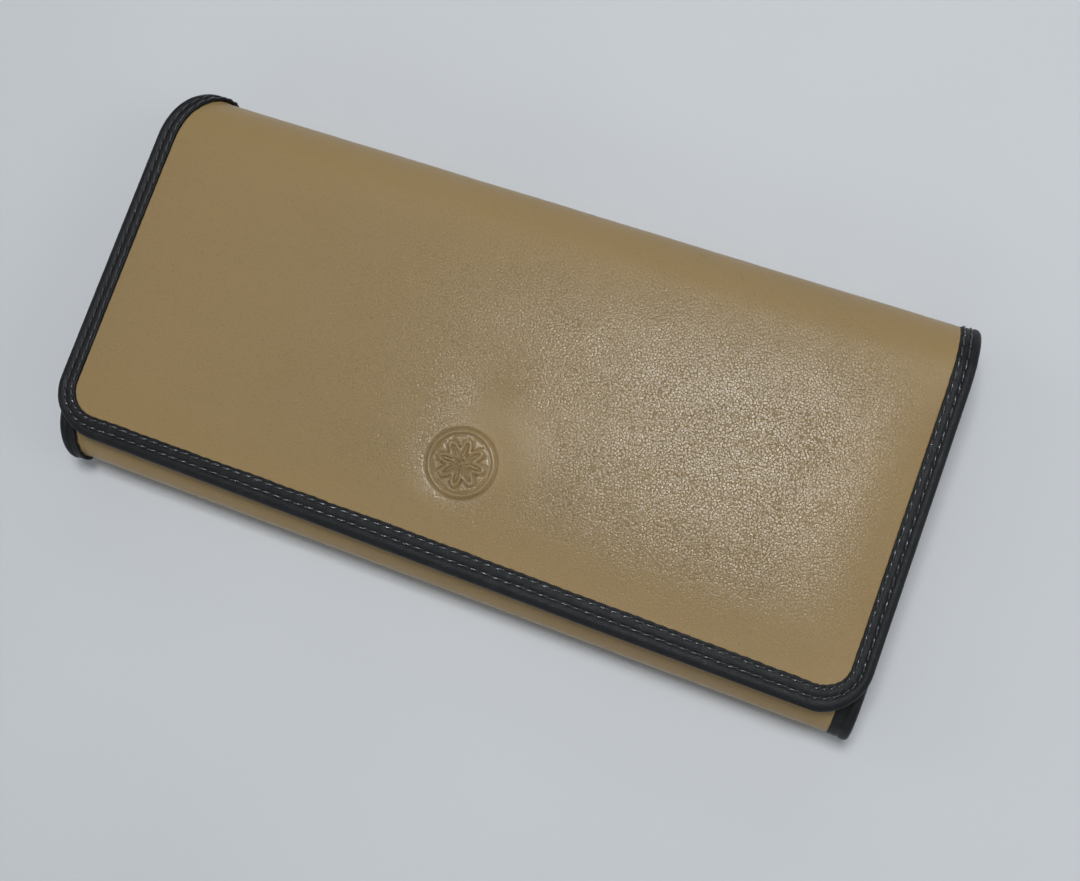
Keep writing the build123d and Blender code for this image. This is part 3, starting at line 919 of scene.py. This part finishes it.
def nappa(name, colours, cell, depth, roughness, grain_low=0.42, calm=None, pressed=None):
    """Calf with a fine pebble grain, deeper towards +X, flatter round a calm spot, glazed where pressed."""
    shader = Shader(name)
    wobble = shader.node("ShaderNodeTexNoise", {"Vector": shader.space, "Scale": 0.8 / cell}).outputs["Color"]
    push = shader.vector("SCALE", {0: wobble, "Scale": 0.7 * cell}).outputs[0]
    space = shader.vector("ADD", {0: shader.space, 1: push}).outputs[0]
    dome = shader.math("POWER", shader.cells(cell, "F1", space), 2.6)
    valley = shader.remap(shader.cells(cell, vector=space), 0.0, 0.1, 1.0, 0.0)
    small = shader.math("POWER", shader.cells(cell * 0.5, "F1", space), 2.0)
    amount = shader.remap(shader.axis("X"), -75, 35, grain_low, 1.0)
    if calm:
        edge = shader.times(shader.remap(shader.axis("X"), 67, 90, 1.0, 0.4),
                            shader.remap(shader.axis("Y"), -20, -34, 1.0, 0.45))
        edge = shader.times(edge, shader.remap(shader.axis("Y"), 24, 36, 1.0, 0.4))
        amount = shader.times(amount, edge)
    shine = shader.remap(amount, 0.3, 1.0, 0.3, 0.62)
    amount = shader.times(amount, shader.remap(shader.noise(14, 1.0), 0.3, 0.7, 0.8, 1.0))
    if calm:
        amount = shader.times(amount, shader.remap(shader.away_from(calm), 6, 13, 0.3, 1.0))
        on_flap = shader.remap(shader.axis("Z"), 16.5, 17.5)
        glazed = shader.times(shader.remap(shader.away_from(pressed), 7, 10, 1.0, 0.0), on_flap)
        shine = shader.plus(shine, shader.times(glazed, 0.4))
        roughness = shader.math("SUBTRACT", roughness, shader.times(glazed, 0.07))
    sunk = shader.plus(shader.times(dome, 0.8), shader.times(valley, 0.8))
    sunk = shader.plus(sunk, shader.times(small, 0.35))
    height = shader.times(sunk, shader.times(amount, -1.0))
    normal = shader.bump(height, depth)
    normal = shader.bump(shader.noise(3.5, 2.0), 0.06, 0.5, below=normal)
    clouds = shader.remap(shader.noise(38, 2.0, 0.4), 0.2, 0.8)
    colour = shader.mix(clouds, colours[0], colours[1])
    mottle = shader.remap(shader.noise(1.6, 3.0, 0.6), 0.1, 0.9, 0.0, 0.8)
    colour = shader.mix(mottle, colour, colours[2])
    # Painted shade: the grain's valleys are coloured towards the last, darker colour, most where the grain is
    # deepest towards +X. The same mask also makes the valleys rougher.
    valley_shade = shader.times(valley, shader.times(amount, 0.75))
    colour = shader.mix(valley_shade, colour, colours[3])
    gloss = shader.plus(shader.remap(shader.noise(7, 1.0), 0.1, 0.9, -0.03, 0.03),
                        shader.remap(amount, 0.2, 1.0, 0.07, 0.0))
    gloss = shader.plus(gloss, roughness)
    gloss = shader.plus(gloss, shader.times(valley_shade, 0.3))
    shader.finish(colour, gloss, normal, Specular_IOR_Level=shine, Sheen_Weight=0.02, Sheen_Roughness=0.4)


def metal(name, colour, roughness):
    """Plated metal with fine polishing marks and dulled patches."""
    shader = Shader(name)
    marks = shader.noise(0.4, 4.0, 0.7)
    dull = shader.remap(shader.noise(2.5, 3.0), 0.4, 0.7)
    tint = shader.mix(shader.times(dull, 0.5), colour, dimmed(colour, 0.62))
    gloss = shader.plus(shader.remap(marks, 0.3, 0.7, roughness - 0.05, roughness + 0.08),
                        shader.times(dull, 0.12))
    shader.finish(tint, gloss, shader.bump(marks, 0.01, 0.5), Metallic=1.0)


def thread(name, colour, roughness, shine=0.5):
    """Waxed thread, twisted from fine strands."""
    shader = Shader(name)
    strands = shader.node("ShaderNodeTexWave", {"Vector": shader.space, "Scale": 2.2, "Distortion": 1.5},
                          bands_direction="DIAGONAL").outputs["Fac"]
    tint = shader.mix(strands, colour, dimmed(colour, 0.6))
    shader.finish(tint, shader.remap(shader.noise(0.5), 0.3, 0.7, roughness - 0.08, roughness + 0.08),
                  shader.bump(strands, 0.05, 0.6), Specular_IOR_Level=shine)


def make_materials():
    # The last colour of each list is the painted shade that nappa() lays in the grain's valleys.
    tan = [tone("outer_leather", 0.93, (1.05, 0.99, 0.79)), tone("outer_leather", 0.95, (1.09, 0.99, 0.75)),
           tone("outer_leather", 0.88, (1.05, 1.0, 0.81)), tone("outer_leather", 0.4, (1.04, 0.98, 0.82))]
    nappa("outer_leather", tan, 0.58, 0.082, 0.285, calm=(7.0, -12.0, 20.0), pressed=(0.0, MOTIF_Y, 19.5))
    inner = [tone("inner_leather", factor) for factor in (1.0, 1.1, 0.9, 0.6)]
    nappa("inner_leather", inner, 0.7, 0.05, 0.5, 0.8)
    brown = [tone("lining_leather", factor) for factor in (1.0, 1.2, 0.85, 0.6)]
    nappa("lining_leather", brown, 0.6, 0.05, 0.5, 0.8)
    make_binding_leather()
    thread("binding_thread", (0.05, 0.051, 0.055, 1.0), 0.18, 1.0)
    thread("inner_thread", tone("inner_leather", 1.25, (1.0, 0.95, 0.8)), 0.5)
    make_board()
    make_tape()
    metal("zip_metal", tone("zip_metal"), 0.26)
    metal("snap_metal", tone("snap_metal"), 0.22)


def make_binding_leather():
    """Black calf, glazed, with a finer grain than the body and greyer where it has rubbed."""
    shader = Shader("binding_leather")
    pebbles = shader.remap(shader.cells(0.42), 0.0, 0.25)
    creases = shader.noise(1.1, 4.0, 0.65)
    height = shader.plus(shader.times(pebbles, 0.4), creases)
    normal = shader.bump(height, 0.06, 0.8)
    rubbed = shader.remap(shader.noise(3.0, 4.0, 0.6), 0.5, 0.8)
    colour = shader.mix(rubbed, tone("binding_leather", 0.6), tone("binding_leather", 1.1))
    shader.finish(colour, shader.remap(creases, 0.3, 0.7, 0.42, 0.56), normal, Specular_IOR_Level=0.2)


def make_board():
    """Grey-brown pulp board with loose fibres."""
    shader = Shader("stiffener_board")
    fibres = shader.noise(0.6, 5.0, 0.75)
    colour = shader.mix(fibres, tone("stiffener_board"), tone("stiffener_board", 0.7))
    shader.finish(colour, shader.remap(fibres, 0.3, 0.7, 0.8, 0.95), shader.bump(fibres, 0.05))


def make_tape():
    """Twill-woven zip tape."""
    shader = Shader("zip_tape")
    weave = shader.node("ShaderNodeTexWave", {"Vector": shader.space, "Scale": 0.9, "Distortion": 0.3},
                        bands_direction="DIAGONAL").outputs["Fac"]
    fuzz = shader.noise(0.2, 4.0)
    colour = shader.mix(weave, tone("zip_tape"), tone("zip_tape", 1.8))
    height = shader.plus(weave, shader.times(fuzz, 0.4))
    shader.finish(colour, shader.remap(fuzz, 0.3, 0.7, 0.7, 0.9), shader.bump(height, 0.06), Sheen_Weight=0.3)


# ---- Stage: pale floor that fades into a pale horizon, soft studio light and camera ----
STUDIO_TINT = (0.88, 0.94, 1.0, 1.0)
SOFTBOX_COLOUR = (0.93, 0.97, 1.0)
HORIZON = 0.62
ZENITH = 0.17
FLOOR_GREYS = (0.65, 0.655, 0.67, 1.0), (0.68, 0.685, 0.70, 1.0)
FLOOR_REACH = 1600.0
# The stitches on the back's outer face reach this far below it.
FLOOR_DROP = 0.45


def make_stage():
    """A pale floor that gives way to the horizon's light between 300 and 1300 mm from the middle."""
    shader = Shader("pale_floor")
    cloth = shader.noise(0.9, 3.0)
    tint = shader.mix(shader.remap(shader.noise(120, 2.0), 0.3, 0.7), *FLOOR_GREYS)
    far = shader.remap(shader.away_from((0.0, 0.0, 0.0)), 300, 1300)
    tint = shader.mix(far, tint, (0.0, 0.0, 0.0, 1.0))
    shader.finish(tint, 0.85, shader.bump(cloth, 0.05, 0.4), Emission_Color=STUDIO_TINT,
                  Emission_Strength=shader.times(far, HORIZON))
    mesh = bpy.data.meshes.new("studio_floor")
    corners = np.array([(-1, -1), (1, -1), (1, 1), (-1, 1)]) * FLOOR_REACH
    mesh.from_pydata((np.insert(corners, 2, -FLOOR_DROP, axis=1) * MM).tolist(), [], [(0, 1, 2, 3)])
    floor = bpy.data.objects.new("studio_floor", mesh)
    bpy.context.collection.objects.link(floor)
    floor.data.materials.append(MATERIALS["pale_floor"])


def add_light(name, position, target, size, power):
    light = bpy.data.lights.new(name, "AREA")
    light.shape = "RECTANGLE"
    light.size, light.size_y = size
    light.energy = power
    light.color = SOFTBOX_COLOUR
    lamp = bpy.data.objects.new(name, light)
    lamp.location = position
    lamp.rotation_euler = (Vector(target) - Vector(position)).to_track_quat("-Z", "Y").to_euler()
    bpy.context.collection.objects.link(lamp)


# Each softbox has a place, a target and a size in metres, and a power in watts.
SOFTBOXES = {
    "overhead": ((0.03, 0.1, 0.7), (0.03, 0.03, 0.0), (0.2, 0.2), 2.85),
    "right": ((0.75, 0.1, 0.5), (0.0, 0.0, 0.0), (0.35, 0.5), 1.0),
    "far": ((0.0, 0.8, 0.5), (0.0, 0.0, 0.0), (0.8, 0.3), 0.5),
    "near": ((-0.1, -0.8, 0.5), (0.0, 0.0, 0.0), (0.8, 0.3), 0.7),
    "left": ((-0.8, 0.0, 0.45), (0.0, 0.0, 0.0), (0.3, 0.6), 0.5),
}


def make_world():
    """A pale studio: a light band all round at the height of the horizon, and dimmer above."""
    world = bpy.data.worlds.new("studio")
    world.use_nodes = True
    tree = world.node_tree
    background = tree.nodes["Background"]
    background.inputs["Color"].default_value = STUDIO_TINT
    direction = tree.nodes.new("ShaderNodeTexCoord")
    parts = tree.nodes.new("ShaderNodeSeparateXYZ")
    fade = tree.nodes.new("ShaderNodeMapRange")
    fade.interpolation_type = "SMOOTHSTEP"
    for key, value in {"From Min": 0.05, "From Max": 0.45, "To Min": HORIZON, "To Max": ZENITH}.items():
        fade.inputs[key].default_value = value
    tree.links.new(direction.outputs["Generated"], parts.inputs[0])
    tree.links.new(parts.outputs["Z"], fade.inputs["Value"])
    tree.links.new(fade.outputs["Result"], background.inputs["Strength"])
    bpy.context.scene.world = world


def make_lights():
    make_world()
    for name, softbox in SOFTBOXES.items():
        add_light(f"{name}_softbox", *softbox)


# The photo's view, in metres: from over the right end, with the camera rolled.
CAMERA_AT = (0.07046, -0.04602, 0.3059)
CAMERA_TARGET = (0.01034, -0.00555, 0.0)
CAMERA_ROLL = -36.18
LENS = 45.86


def make_camera():
    camera = bpy.data.cameras.new("camera")
    camera.lens = LENS
    camera.sensor_width = 36.0
    camera.clip_start = 0.01
    seer = bpy.data.objects.new("camera", camera)
    seer.location = CAMERA_AT
    look = (Vector(CAMERA_TARGET) - Vector(CAMERA_AT)).to_track_quat("-Z", "Y").to_matrix()
    roll = Matrix.Rotation(math.radians(CAMERA_ROLL), 3, Vector((0, 0, 1)))
    seer.rotation_euler = (look @ roll).to_euler()
    bpy.context.collection.objects.link(seer)
    bpy.context.scene.camera = seer


def stud_centre(node, rail, direction):
    """A press-stud part's centre as X and distance along its rail."""
    low, high = box_mm(node)
    middle = (low[1] + high[1]) / 2
    return 0.0, direction * (middle - rail.line[0, 0]) / math.cos(SLANT)


STUD = stud_centre("snap_stud", FRONT, -1)
SOCKET = stud_centre("snap_socket", FLAP, 1)
# Where each fold's bend starts on the one body and ends on the other, in metres.
BENDS = {
    ("back", "flap"): ((0, 0.0344, 0.0027), (0, 0.0329, 0.0193)),
    ("back", "front"): ((0, BOTTOM_Y * MM, BINDING_DEPTH * MM), (0, (BOTTOM_Y - 0.2) * MM, 0.012)),
}

make_materials()
make_stage()
make_lights()
make_camera()
make_outer_leather()
make_linings()
bind("flap_edge_binding", FLAP, ("back", "flap"), FLAP_CORNER,
     "flap_binding", "top_fold_binding_left", "top_fold_binding_right")
bind("front_edge_binding", FRONT, ("back", "front"), FRONT_CORNER,
     "front_binding", "bottom_fold_binding_left", "bottom_fold_binding_right")
bind_back()
make_card_slots()
make_gussets()
make_pocket()
make_tapes()
make_teeth()
finish_hard_parts()

bpy.context.scene.view_settings.view_transform = "Standard"
